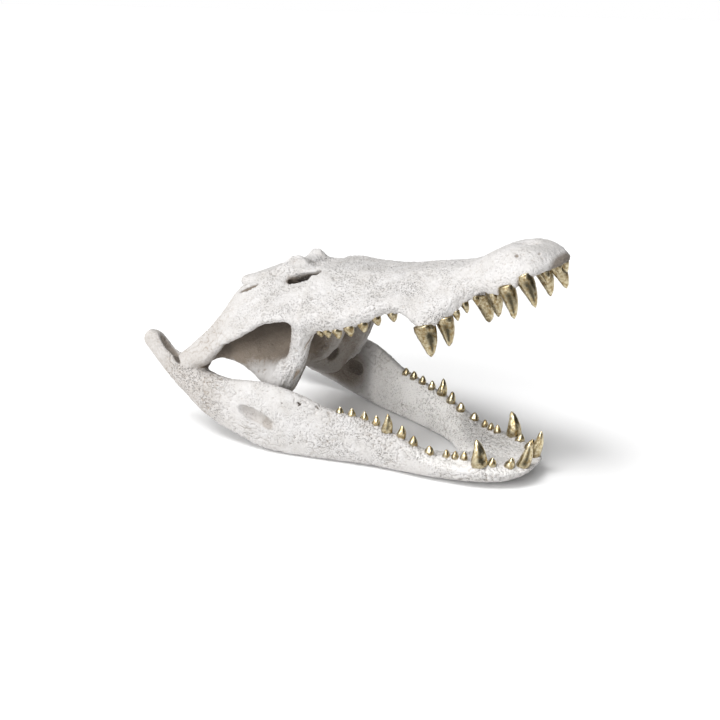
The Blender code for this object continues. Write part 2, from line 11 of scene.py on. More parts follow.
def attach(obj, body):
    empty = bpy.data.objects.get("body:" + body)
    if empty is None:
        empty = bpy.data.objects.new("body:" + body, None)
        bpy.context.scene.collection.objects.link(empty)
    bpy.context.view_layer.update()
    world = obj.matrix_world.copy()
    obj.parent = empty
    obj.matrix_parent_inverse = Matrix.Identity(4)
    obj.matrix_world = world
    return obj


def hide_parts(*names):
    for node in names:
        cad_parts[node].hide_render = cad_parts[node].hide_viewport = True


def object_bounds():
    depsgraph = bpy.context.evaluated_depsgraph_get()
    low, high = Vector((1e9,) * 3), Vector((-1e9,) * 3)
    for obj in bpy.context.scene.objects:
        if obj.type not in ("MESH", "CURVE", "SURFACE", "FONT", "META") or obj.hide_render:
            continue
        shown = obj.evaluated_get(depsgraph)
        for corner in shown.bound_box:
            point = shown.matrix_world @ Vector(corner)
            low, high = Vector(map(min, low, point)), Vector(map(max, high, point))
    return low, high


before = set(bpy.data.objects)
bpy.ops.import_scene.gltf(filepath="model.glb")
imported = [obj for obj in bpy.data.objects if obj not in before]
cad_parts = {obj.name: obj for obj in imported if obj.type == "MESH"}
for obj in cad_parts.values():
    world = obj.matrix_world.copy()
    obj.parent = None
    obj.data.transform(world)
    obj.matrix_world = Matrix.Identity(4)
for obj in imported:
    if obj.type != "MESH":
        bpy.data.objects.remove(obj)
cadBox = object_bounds()
print("frame loaded")

mm = 0.001

# Where the skull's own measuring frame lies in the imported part, and the upper jaw's frame in that.
# In the upper jaw's frame x runs along the snout from the jaw joint, and z is height above the tooth row.
layFlat = Matrix.Translation((-0.1706, -0.00001, 0.0038)) @ Matrix.Rotation(math.radians(2.2), 4, 'Y')
raised = layFlat @ Matrix.Translation((0, 0, 0.085)) @ Matrix.Rotation(math.radians(-22), 4, 'Y')


def linear(code):
    # sRGB hex to linear colour
    parts = [int(code[i:i + 2], 16) / 255 for i in (0, 2, 4)]
    return [c / 12.92 if c <= 0.04045 else ((c + 0.055) / 1.055) ** 2.4 for c in parts] + [1.0]


# Camera, at the photographed angle
camera = {
    "place": (0.70963, -0.92945, 0.50458),
    "right": (0.85109, 0.52208, 0.0554),
    "up": (-0.23048, 0.27674, 0.93289),
    "ahead": (-0.47172, 0.80675, -0.35587),
    "lens": 50,
    "sensor": 36,
}
camData = bpy.data.cameras.new("camera")
camData.lens = camera["lens"]
camData.sensor_width = camera["sensor"]
camData.clip_start = 0.02
camData.clip_end = 60
camObject = bpy.data.objects.new("camera", camData)
bpy.context.scene.collection.objects.link(camObject)
stand = Matrix.Identity(4)
for i in range(3):
    stand[i][0] = camera["right"][i]
    stand[i][1] = camera["up"][i]
    stand[i][2] = -camera["ahead"][i]
    stand[i][3] = camera["place"][i]
camObject.matrix_world = layFlat @ stand
bpy.context.scene.camera = camObject
print("camera placed")


def node(tree, kind, settings=None, links=None):
    # adds one node: settings holds its properties and input values, links its sources
    made = tree.nodes.new(kind)
    for key, value in (settings or {}).items():
        if isinstance(key, str) and hasattr(made, key):
            setattr(made, key, value)
        else:
            made.inputs[key].default_value = value
    for key, source in (links or {}).items():
        tree.links.new(source, made.inputs[key])
    return made


def newMaterial(name):
    material = bpy.data.materials.new(name)
    material.use_nodes = True
    return material, material.node_tree, material.node_tree.nodes["Principled BSDF"]


def ramp(tree, source, stops):
    made = node(tree, "ShaderNodeValToRGB", links={"Fac": source})
    band = made.color_ramp
    while len(band.elements) < len(stops):
        band.elements.new(0.5)
    for element, (place, colour) in zip(band.elements, stops):
        element.position = place
        element.color = linear(colour)
    return made


resin = {
    "light": "C8C6C5",      # bare cast, on the raised parts
    "paintedLight": "F3F1EE",       # painted light: lighter paint on the inner faces of the lower jaw and the level top of its front
    "shade": "BCB9B6",      # broad patches that took a little more wash
    "washAndShade": "8B7E70",       # thinned brown-grey paint left in pits and hollows, and painted shade where the skull is shut in
    "deepWashAndShade": "251E18",       # the darkest wash and painted shade, in the holes and under the palate
    "patch": 18,            # mm across a cloudy patch
    "grain": 1.1,           # mm across the finest grain of the cast surface
    "pore": 2.1,            # mm between the fine pores between the pits
    "poreWashAndShade": "8F8B87",   # the little wash in them, partly painted shade
    "roughness": 0.72,
}


def castResin():
    # white polyester casting resin, matt, washed with thin brown paint and wiped: dark where the rag
    # missed, with painted shade in the hollows and painted light on the inner faces of the lower jaw
    material, tree, shader = newMaterial("castResin")
    place = node(tree, "ShaderNodeTexCoord").outputs["Object"]
    cloud = node(
        tree, "ShaderNodeTexNoise",
        {"Scale": 1000 / resin["patch"], "Detail": 4.0, "Roughness": 0.6}, {"Vector": place},
    )
    grain = node(
        tree, "ShaderNodeTexNoise",
        {"Scale": 1000 / resin["grain"], "Detail": 3.0, "Roughness": 0.6}, {"Vector": place},
    )
    pore = node(
        tree, "ShaderNodeTexVoronoi",
        {"Scale": 1000 / resin["pore"], "Randomness": 1.0}, {"Vector": place},
    )
    washAndShade = node(tree, "ShaderNodeAttribute", {"attribute_name": "washAndShade"}).outputs["Fac"]
    darkestWashAndShade = node(tree, "ShaderNodeAttribute", {"attribute_name": "darkestWashAndShade"}).outputs["Fac"]
    paintedLight = node(tree, "ShaderNodeAttribute", {"attribute_name": "paintedLight"}).outputs["Fac"]
    pitted = node(tree, "ShaderNodeAttribute", {"attribute_name": "pitted"}).outputs["Fac"]
    cast = ramp(tree, cloud.outputs["Fac"], [(0.35, resin["light"]), (0.72, resin["shade"])])
    # painted light: the inner faces of the lower jaw and the level top of its front are made lighter
    base = node(
        tree, "ShaderNodeMix", {"data_type": "RGBA", 7: linear(resin["paintedLight"])},
        {"Factor": paintedLight, 6: cast.outputs["Color"]},
    )
    # the wash and painted shade lie in pits and hollows, broken up by the grain
    broken = node(
        tree, "ShaderNodeMath", {"operation": "MULTIPLY_ADD", 1: 0.9, 2: -0.45},
        {0: grain.outputs["Fac"]},
    )
    amount = node(
        tree, "ShaderNodeMath", {"operation": "ADD", "use_clamp": True},
        {0: washAndShade, 1: broken.outputs[0]},
    )
    washAndShadeShare = node(
        tree, "ShaderNodeMath", {"operation": "MULTIPLY", "use_clamp": True},
        {0: amount.outputs[0], 1: washAndShade},
    )
    washedAndShaded = node(
        tree, "ShaderNodeMix", {"data_type": "RGBA", 7: linear(resin["washAndShade"])},
        {"Factor": washAndShadeShare.outputs[0], 6: base.outputs[2]},
    )
    # the darkest wash and painted shade is broken up by the clouds
    uneven = node(
        tree, "ShaderNodeMath", {"operation": "MULTIPLY_ADD", 1: 0.8, 2: 0.6},
        {0: cloud.outputs["Fac"]},
    )
    depth = node(
        tree, "ShaderNodeMath", {"operation": "MULTIPLY", "use_clamp": True},
        {0: darkestWashAndShade, 1: uneven.outputs[0]},
    )
    deepWashAndShade = node(
        tree, "ShaderNodeMix", {"data_type": "RGBA", 7: linear(resin["deepWashAndShade"])},
        {"Factor": depth.outputs[0], 6: washedAndShaded.outputs[2]},
    )
    # wash and painted shade in the pores, where the bone is pitted
    pin = node(
        tree, "ShaderNodeMapRange",
        {"From Min": 0.12, "From Max": 0.36, "To Min": 0.9, "To Max": 0.0},
        {"Value": pore.outputs["Distance"]},
    )
    chance = node(
        tree, "ShaderNodeMapRange", {"From Min": 0.3, "From Max": 0.6, "To Min": 0.4},
        {"Value": cloud.outputs["Fac"]},
    )
    some = node(
        tree, "ShaderNodeMath", {"operation": "MULTIPLY"},
        {0: pitted, 1: chance.outputs["Result"]},
    )
    soft = node(
        tree, "ShaderNodeMath", {"operation": "MULTIPLY"},
        {0: pin.outputs["Result"], 1: some.outputs[0]},
    )
    final = node(
        tree, "ShaderNodeMix", {"data_type": "RGBA", 7: linear(resin["poreWashAndShade"])},
        {"Factor": soft.outputs[0], 6: deepWashAndShade.outputs[2]},
    )
    tree.links.new(final.outputs[2], shader.inputs["Base Color"])
    # pores and grain as bump
    bowl = node(
        tree, "ShaderNodeMapRange", {"From Min": 0.08, "From Max": 0.5},
        {"Value": pore.outputs["Distance"]},
    )
    pores = node(
        tree, "ShaderNodeBump", {"Distance": 0.0013},
        {"Height": bowl.outputs["Result"], "Strength": pitted},
    )
    bump = node(
        tree, "ShaderNodeBump", {"Strength": 0.5, "Distance": 0.0005},
        {"Height": grain.outputs["Fac"], "Normal": pores.outputs["Normal"]},
    )
    tree.links.new(bump.outputs["Normal"], shader.inputs["Normal"])
    rough = node(
        tree, "ShaderNodeMapRange",
        {"To Min": resin["roughness"] - 0.1, "To Max": resin["roughness"] + 0.12},
        {"Value": cloud.outputs["Fac"]},
    )
    tree.links.new(rough.outputs["Result"], shader.inputs["Roughness"])
    shader.inputs["IOR"].default_value = 1.5
    return material


gilding = {
    "bright": "E8DDBC",     # rubbed champagne gold on the raised parts
    "mid": "A59068",
    "paintedDark": "2A271C",       # brown-black in the flute of each large tooth: wash and a painted dark reflection
    "patinaAndShade": "5E4D33",     # brown near the root, and painted shade on the hanging teeth
    "dent": 3.4,            # mm across the dents of the cast tooth under the gold
    "brush": 0.8,           # mm, the unevenness left by the brush
    "roughness": 0.27,
}


def goldPaint():
    # pale gold leaf paint on cast teeth: mirror-like but uneven,
    # browner towards the root and in the flutes; the flutes' dark is partly a painted reflection, and the
    # hanging teeth get painted shade
    material, tree, shader = newMaterial("goldPaint")
    place = node(tree, "ShaderNodeTexCoord").outputs["Object"]
    dents = node(
        tree, "ShaderNodeTexNoise",
        {"Scale": 1000 / gilding["dent"], "Detail": 2.0, "Roughness": 0.5}, {"Vector": place},
    )
    fine = node(
        tree, "ShaderNodeTexNoise",
        {"Scale": 1000 / gilding["brush"], "Detail": 2.0}, {"Vector": place},
    )
    root = node(tree, "ShaderNodeAttribute", {"attribute_name": "root"}).outputs["Fac"]
    flute = node(tree, "ShaderNodeAttribute", {"attribute_name": "flute"}).outputs["Fac"]
    tone = ramp(tree, dents.outputs["Fac"], [(0.36, gilding["mid"]), (0.6, gilding["bright"])])
    near = node(
        tree, "ShaderNodeMath", {"operation": "MULTIPLY", "use_clamp": True},
        {0: root, 1: fine.outputs["Fac"]},
    )
    brown = node(
        tree, "ShaderNodeMix", {"data_type": "RGBA", 7: linear(gilding["patinaAndShade"])},
        {"Factor": near.outputs[0], 6: tone.outputs["Color"]},
    )
    # painted reflection: the flute of each large tooth is darkened as a dark reflection would
    ragged = node(
        tree, "ShaderNodeMath", {"operation": "MULTIPLY_ADD", 1: 1.1, 2: -0.55},
        {0: dents.outputs["Fac"]},
    )
    both = node(tree, "ShaderNodeMath", {"operation": "ADD"}, {0: flute, 1: ragged.outputs[0]})
    line = node(
        tree, "ShaderNodeMapRange", {"From Min": 0.22, "From Max": 0.95, "To Max": 0.88},
        {"Value": both.outputs[0]},
    )
    paintedDark = node(
        tree, "ShaderNodeMix", {"data_type": "RGBA", 7: linear(gilding["paintedDark"])},
        {"Factor": line.outputs["Result"], 6: brown.outputs[2]},
    )
    tree.links.new(paintedDark.outputs[2], shader.inputs["Base Color"])
    shader.inputs["Metallic"].default_value = 1.0
    rough = node(
        tree, "ShaderNodeMapRange",
        {"To Min": gilding["roughness"] - 0.08, "To Max": gilding["roughness"] + 0.14},
        {"Value": fine.outputs["Fac"]},
    )
    tree.links.new(rough.outputs["Result"], shader.inputs["Roughness"])
    bump = node(
        tree, "ShaderNodeBump", {"Strength": 0.3, "Distance": 0.0008},
        {"Height": dents.outputs["Fac"]},
    )
    tree.links.new(bump.outputs["Normal"], shader.inputs["Normal"])
    return material


resinMaterial = castResin()
goldMaterial = goldPaint()
print("materials made")


# each row, mm: along the jaw, to the side, height of the root, length, width, lean forward, lean outward
lowerTeeth = [
    (382, 15, 33, 30, 14.0, 0.18, 0.03),
    (372, 28, 34, 11, 11.0, 0.25, 0.10),
    (356, 38, 35, 8, 10.0, 0.10, 0.10),
    (345, 46, 37, 25, 16.0, -0.22, 0.02),
    (326, 43, 35, 8, 8.0, 0.00, 0.00),
    (317, 46, 35, 7, 8.0, 0.00, 0.00),
    (308, 49, 35, 7, 8.0, 0.00, 0.00),
    (291, 56, 37, 7, 10.0, 0.00, 0.00),
    (272, 58, 42, 9, 10.0, 0.00, 0.00),
    (258, 60, 48, 12, 10.5, 0.05, 0.05),
    (243, 65, 53, 18, 12.0, 0.00, 0.05),
    (229, 65, 56, 9, 9.0, 0.00, 0.00),
    (215, 67, 59, 8, 9.0, 0.00, 0.00),
    (201, 71, 60, 8, 9.0, 0.00, 0.00),
    (188, 75, 61, 7, 9.0, 0.00, 0.00),
]
upperTeeth = [
    (424, 10, 9, 8, 8.0, 0.10, 0.10),
    (416, 25, 8, 12, 9.5, 0.10, 0.15),
    (401, 41, 6, 29, 17.0, 0.17, 0.12),
    (383, 47, 0, 29, 17.0, 0.03, 0.12),
    (366, 45, -3, 9, 8.0, 0.00, 0.05),
    (345, 42, -3, 8, 7.0, 0.00, 0.00),
    (335, 49, -6, 9, 8.0, 0.00, 0.00),
    (326, 55, -12, 8, 8.0, 0.00, 0.00),
    (314, 60, -17, 26, 18.0, -0.07, 0.05),
    (295, 70, -20, 29, 21.0, -0.02, 0.05),
    (262, 70, 1, 8, 10.0, 0.00, 0.00),
    (245, 75, 1, 8, 10.0, 0.00, 0.00),
    (229, 79, -2, 9, 10.5, 0.00, 0.00),
    (213, 82, -3, 9, 11.0, 0.00, 0.00),
    (198, 83, -3, 9, 10.5, 0.00, 0.00),
    (186, 84, -2, 7, 9.0, 0.00, 0.00),
    (178, 85, -1, 5, 8.0, 0.00, 0.00),
]
noseCut = 350       # the premaxilla's teeth stand in front of this station


def toothAxis(row, side, up, place):
    # root and tip of a tooth in metres, as the solids have them
    x, y, z, length, wide, forward, outward = row
    root = place @ (Vector((x, side * y, z)) * mm)
    ahead, aside, above = x + forward * length, side * (y + outward * length * 0.5), z + up * length
    tip = place @ (Vector((ahead, aside, above)) * mm)
    return root, tip


sockets = []        # root, tip, width and row of every tooth
for side in (-1, 1):
    for row in lowerTeeth:
        sockets.append((*toothAxis(row, side, 1, layFlat), row, side, "lower"))
    for row in upperTeeth:
        sockets.append((*toothAxis(row, side, -1, raised), row, side, "upper"))


bones = {
    "grid": 2.2,        # mm, the grid on which the copied solids become one casting
    "rounds": 11,       # smoothing rounds that take out the flat facets
    "pull": 0.6,        # share of the way to the neighbours' mean, then back out by the push
    "push": -0.56,
    "cut": 0.0004,      # m, a little over the width of a cut between two solids
    "overlap": 1.8,     # how far past its neighbour a point moves to close the cut
    "island": 400,      # faces; a smaller patch cut off from its piece goes to the piece beside it
    "seed": 11,
}
teethOff = {
    "largeFrom": 15,    # mm long
    "largeStub": 0.28,  # share of a large tooth that stays on the bone
    "smallStub": 0.4,
    "past": 1.3,        # share of the tooth's length, to reach past its tip
    "reach": 0.72,      # of the tooth's width, from its axis
}
nodeNames = sorted(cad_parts)


def toothless(name):
    # a merged copy of a node's mesh with its teeth taken off and the holes closed
    form = bmesh.new()
    form.from_mesh(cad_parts[name].data)
    bmesh.ops.remove_doubles(form, verts=form.verts, dist=0.00001)
    gone = set()
    for root, tip, row, side, jaw in sockets:
        run = tip - root
        stub = teethOff["largeStub"] if row[3] > teethOff["largeFrom"] else teethOff["smallStub"]
        reach = row[4] * mm * teethOff["reach"]
        for vert in form.verts:
            share = (vert.co - root).dot(run) / run.length_squared
            if stub < share < teethOff["past"] and (vert.co - root - run * share).length < reach:
                gone.add(vert)
    bmesh.ops.delete(form, geom=list(gone), context='VERTS')
    rim = [edge for edge in form.edges if edge.is_boundary]
    if rim:
        bmesh.ops.holes_fill(form, edges=rim, sides=0)
    bmesh.ops.triangulate(form, faces=[face for face in form.faces if len(face.verts) > 3])
    return form


def closeCuts(forms):
    # the cuts between the nodes are closed, because the real thing is one casting
    trees = {name: BVHTree.FromBMesh(form) for name, form in forms.items()}
    moves = []
    for name, form in forms.items():
        for vert in form.verts:
            for other, tree in trees.items():
                if other != name:
                    near = tree.find_nearest(vert.co, bones["cut"])
                    if near[0] is not None:
                        moves.append((vert, vert.co + (near[0] - vert.co) * bones["overlap"]))
    for vert, spot in moves:
        vert.co = spot


def relax(spots, edges, rounds):
    # smooths without shrinking: a pull in, then a smaller push out
    count = len(spots)
    links = np.bincount(edges.ravel(), minlength=count)[:, None].clip(1)
    for k in range(rounds * 2):
        mean = np.empty_like(spots)
        for axis in range(3):
            mean[:, axis] = (
                np.bincount(edges[:, 0], spots[edges[:, 1], axis], count)
                + np.bincount(edges[:, 1], spots[edges[:, 0], axis], count)
            )
        spots = spots + (mean / links - spots) * (bones["pull"] if k % 2 == 0 else bones["push"])
    return spots


def spotsOf(mesh):
    flat = np.empty(len(mesh.vertices) * 3)
    mesh.vertices.foreach_get("co", flat)
    return flat.reshape(-1, 3)


def edgesOf(mesh):
    flat = np.empty(len(mesh.edges) * 2, int)
    mesh.edges.foreach_get("vertices", flat)
    return flat.reshape(-1, 2)


def normalsOf(mesh):
    flat = np.empty(len(mesh.vertices) * 3)
    mesh.vertex_normals.foreach_get("vector", flat)
    return flat.reshape(-1, 3)


def setSpots(mesh, spots):
    mesh.vertices.foreach_set("co", spots.ravel())
    mesh.update()


def addObject(name, mesh):
    made = bpy.data.objects.new(name, mesh)
    bpy.context.scene.collection.objects.link(made)
    return made


def applied(thing):
    # uses up an object's modifiers
    graph = bpy.context.evaluated_depsgraph_get()
    mesh = bpy.data.meshes.new_from_object(thing.evaluated_get(graph))
    thing.modifiers.clear()
    thing.data = mesh
    return thing


def wholeCasting():
    forms = {name: toothless(name) for name in nodeNames}
    closeCuts(forms)
    joined = bmesh.new()
    for name in nodeNames:
        mesh = bpy.data.meshes.new("part")
        forms[name].to_mesh(mesh)
        forms[name].free()
        joined.from_mesh(mesh)
    mesh = bpy.data.meshes.new("casting")
    joined.to_mesh(mesh)
    joined.free()
    casting = addObject("casting", mesh)
    grid = casting.modifiers.new("grid", 'REMESH')
    grid.mode = 'VOXEL'
    grid.voxel_size = bones["grid"] * mm
    applied(casting)
    setSpots(casting.data, relax(spotsOf(casting.data), edgesOf(casting.data), bones["rounds"]))
    finer = casting.modifiers.new("finer", 'SUBSURF')
    finer.levels = finer.render_levels = 1
    applied(casting)
    print("casting has", len(casting.data.vertices), "points")
    return casting


casting = wholeCasting()


shutIn = {
    "rays": 22,         # cast from each sampled point
    "goldenTurn": 2.39996,      # radians between one ray and the next round the normal
    "reach": 0.09,      # m, a wall further off doesn't shut a point in
    "lift": 0.0006,     # m, so that a ray starts clear of its own face
    "oneIn": 10,        # points sampled
    "near": 4,          # samples that a point takes its value from
}


def hollowness(mesh, normals):
    # how shut in each point is, from rays cast out of a sample of the points
    tree = BVHTree.FromObject(casting, bpy.context.evaluated_depsgraph_get())
    chance = random.Random(bones["seed"])
    spots = spotsOf(mesh)
    rays = []
    for k in range(shutIn["rays"]):
        z = (k + 0.5) / shutIn["rays"]
        turn = k * shutIn["goldenTurn"]
        flat = math.sqrt(1 - z * z)
        rays.append(Vector((flat * math.cos(turn), flat * math.sin(turn), z)))
    sample = chance.sample(range(len(spots)), len(spots) // shutIn["oneIn"])
    known = KDTree(len(sample))
    values = []
    for i, k in enumerate(sample):
        normal = Vector(normals[k])
        spot = Vector(spots[k])
        turned = normal.to_track_quat('Z', 'Y').to_matrix()
        shut = 0.0
        for ray in rays:
            hit = tree.ray_cast(spot + normal * shutIn["lift"], turned @ ray, shutIn["reach"])
            if hit[0] is not None:
                shut += 1 - hit[3] / shutIn["reach"] * 0.5
        values.append(shut / len(rays))
        known.insert(spot, i)
    known.balance()
    out = np.empty(len(spots))
    for i, spot in enumerate(spots):
        near = known.find_n(spot, shutIn["near"])
        weights = [1 / (n[2] + 0.0003) for n in near]
        out[i] = sum(w * values[n[1]] for w, n in zip(weights, near)) / sum(weights)
    return out


relief = {
    "fine": 2.6,            # mm between the small pits
    "finePit": 0.32,        # how far a pit's slope runs, as a share of the spacing
    "fineDepth": 0.75,      # mm
    "long": 1.05,           # how much longer than wide the pits run along the jaw
    "crease": 0.8,          # mm, depth of the curling furrows, and 1.7 times that on the lower jaw
    "holes": 5200,          # larger single pits, tried over the whole skull
    "holeRadius": (0.9, 1.5),   # mm
    "holeDepth": (0.6, 1.2),    # mm
    "holeLong": 1.5,        # how much longer than wide they run along the jaw
    # wash and painted shade in the larger pits
    "holeWashAndShade": 0.75,
    "collar": 0.9,          # mm, how far the bone swells round the root of a large tooth
    # wash and painted shade in the angle at a tooth's root
    "collarWashAndShade": 0.8,
    "broad": 0.35,          # mm, the slow unevenness of the cast
    "middling": 0.24,
    "rough": 0.15,          # mm, and more where it is pitted
    "roughPitted": 0.3,
    "streak": 0.95,         # mm, depth of the streaks on the strut
    "noseLine": 0.22,       # mm, depth of the lines along the nose
}

# how pitted the bone is along each jaw: station in mm, share of the full depth
upperPitted = [
    (-10, 0.3), (50, 0.45), (90, 0.7), (140, 0.85), (300, 0.85), (340, 0.6), (400, 0.5), (430, 0.35),
]
lowerPitted = [
    (-60, 0.2), (-25, 0.6), (5, 1.0), (45, 0.95), (80, 0.6),
    (140, 0.6), (210, 0.85), (320, 0.9), (393, 0.6),
]

# single marks of the cast, in a jaw's own frame, mm; their darkening is wash and painted shade in hollows,
# cracks and under overhangs:
# jaw, sides, centre, three radii, turn in degrees, depth, wash and painted shade, share of the darkest of
# it
marks = [
    # ear slit below the edge of the skull table
    ("upper", (-1, 1), (77, 58, 61), (17, 9, 2.3), -9, 2.4, 1.0, 0.5),
    ("upper", (-1, 1), (70, 57, 66), (13, 9, 1.9), -6, 1.6, 0.9, 0.2),
    # dimple of the brow
    ("upper", (-1, 1), (120, 25, 75), (6, 6, 6), 0, 1.2, 0.3, 0.0),
    # inside of the eye socket, painted dark as shade
    ("upper", (-1, 1), (146, 40, 48), (34, 13, 15), 0, 2.0, 1.0, 1.0),
    # nerve holes of the nose
    ("upper", (-1, 1), (397, 37, 30), (2.6, 4, 1.9), 30, 1.6, 0.9, 0.3),
    ("upper", (-1, 1), (416, 26, 26), (1.9, 4, 1.3), 20, 1.1, 0.7, 0.0),
    ("upper", (-1, 1), (387, 36, 32), (1.2, 4, 1.6), 0, 1.0, 0.5, 0.0),
    ("upper", (-1, 1), (385, 41, 25), (1.6, 4, 1.2), 25, 1.0, 0.6, 0.0),
    # shaded front of the nose
    ("upper", (-1, 1), (430, 6, 7), (20, 30, 14), 0, 0.0, 0.9, 0.35),
    # recess of the palate's wing, darkened as painted shade
    ("upper", (-1, 1), (99, 33, -48), (12, 10, 7), -30, 2.2, 1.0, 0.7),
    # painted shade in the back corner of the large opening
    ("upper", (-1, 1), (12, 84, -13), (22, 9, 14), 0, 0.0, 0.9, 0.35),
    # chips near the jaw's upper edge
    ("lower", (-1,), (131, 104, 66), (1.3, 3, 1.1), 20, 1.2, 0.9, 0.6),
    ("lower", (-1,), (149, 97, 68), (3.2, 3, 1.1), 35, 1.4, 1.0, 0.8),
    ("lower", (-1,), (150, 97, 67), (2.8, 3, 1.1), -50, 1.4, 1.0, 0.8),
    ("lower", (-1,), (168, 89, 66), (3.6, 3, 1.0), 38, 1.2, 0.8, 0.5),
    ("lower", (1,), (118, 106, 60), (2.4, 3, 1.2), -20, 1.3, 0.9, 0.6),
    ("lower", (1,), (176, 88, 58), (1.4, 3, 1.4), 0, 1.1, 0.8, 0.4),
    # window in the jaw's side, deepest in front
    ("lower", (-1, 1), (99, 109, 44), (25, 9, 9), 14, 4.6, 0.5, 0.0),
    # painted shade along the window's upper rim
    ("lower", (-1, 1), (94, 109, 50), (18, 9, 2.6), 14, 0.8, 0.8, 0.1),
    ("lower", (-1, 1), (114, 109, 38), (11, 9, 7), 24, 1.2, 0.7, 0.1),
    # its pair on the inner face
    ("lower", (-1, 1), (107, 93, 42), (17, 10, 13), 10, 2.0, 1.0, 0.7),
    # painted shade on the inner face below the palate
    ("lower", (-1, 1), (76, 86, 42), (60, 14, 62), 0, 0.0, 1.0, 0.55),
    # trough of the hook
    ("lower", (-1, 1), (-31, 102, 93), (24, 7, 7), 38, 1.6, 0.9, 0.25),
    # crack between hook and joint, darkened as painted shade
    ("lower", (-1, 1), (-15, 106, 83), (9, 7, 3), 38, 1.2, 1.0, 0.8),
]


def placesIn(where, spots):
    # points as millimetres in a jaw's own frame
    back = np.array(where.inverted())
    return (spots @ back[:3, :3].T + back[:3, 3]) / mm


def ofUpperJaw(spots):
    # 1 for the points that belong to the upper jaw, by the nearest solid
    trees = []
    for lower in (True, False):
        form = bmesh.new()
        for name in nodeNames:
            if name.startswith("mandible") == lower:
                form.from_mesh(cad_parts[name].data)
        trees.append(BVHTree.FromBMesh(form))
        form.free()
    out = np.empty(len(spots))
    for i, spot in enumerate(spots):
        reach = trees[0].find_nearest(spot)[3]
        out[i] = reach > 0.00001 and trees[1].find_nearest(spot)[3] < reach
    return out


def closePits(places):
    # a field of close irregular pits, 0 to 1, longer along the jaw
    out = np.empty(len(places))
    fine = relief["fine"]
    for i, (x, y, z) in enumerate(places):
        warp = noise.noise((x * 0.11, y * 0.11, z * 0.11))
        out[i] = noise.voronoi((x / (fine * relief["long"]) + warp, y / fine + warp, z / fine))[0][0]
    return np.clip((0.5 - out) / relief["finePit"], 0, 1)


def ripples(places, sizes):
    # smooth noise, with its own width in mm along each axis
    return np.array([noise.noise(spot) for spot in places / np.array(sizes)])


def washAndShadeInside(places, isUpper, shut):
    # the wash was wiped off outside and left inside, and the shut-in places are darkened as painted shade:
    # two amounts, of the wash and shade and of its darkest
    along, across, height = places[:, 0], np.abs(places[:, 1]), places[:, 2]
    palate = isUpper * (along > 45) * (along < 165) * (height < 10)
    # its flanks are the struts, with less wash and painted shade towards their feet
    flank = palate * np.clip((across - 62) / 8, 0, 1)
    middle = palate - flank
    lit = np.clip((height + 38) / 20, 0.08, 1)
    elsewhere = isUpper - palate
    lower = 1 - isUpper
    washAndShade = (
        flank * np.clip((shut - 0.08) * 2.6, 0, 1) * lit
        + middle * np.clip(0.5 + shut * 1.2, 0, 1)
        + elsewhere * np.clip((shut - 0.15) * 2.6, 0, 1)
        + lower * np.clip((shut - 0.4) * 1.5, 0, 0.5)
    )
    deepWashAndShade = (
        flank * np.clip((shut - 0.36) * 1.4, 0, 0.36) * lit
        + middle * np.clip((shut - 0.28) * 1.5, 0, 0.5)
        + elsewhere * np.clip((shut - 0.36) * 2.0, 0, 0.7)
        + lower * np.clip((shut - 0.62) * 2.0, 0, 0.5)
    )
    return washAndShade, deepWashAndShade


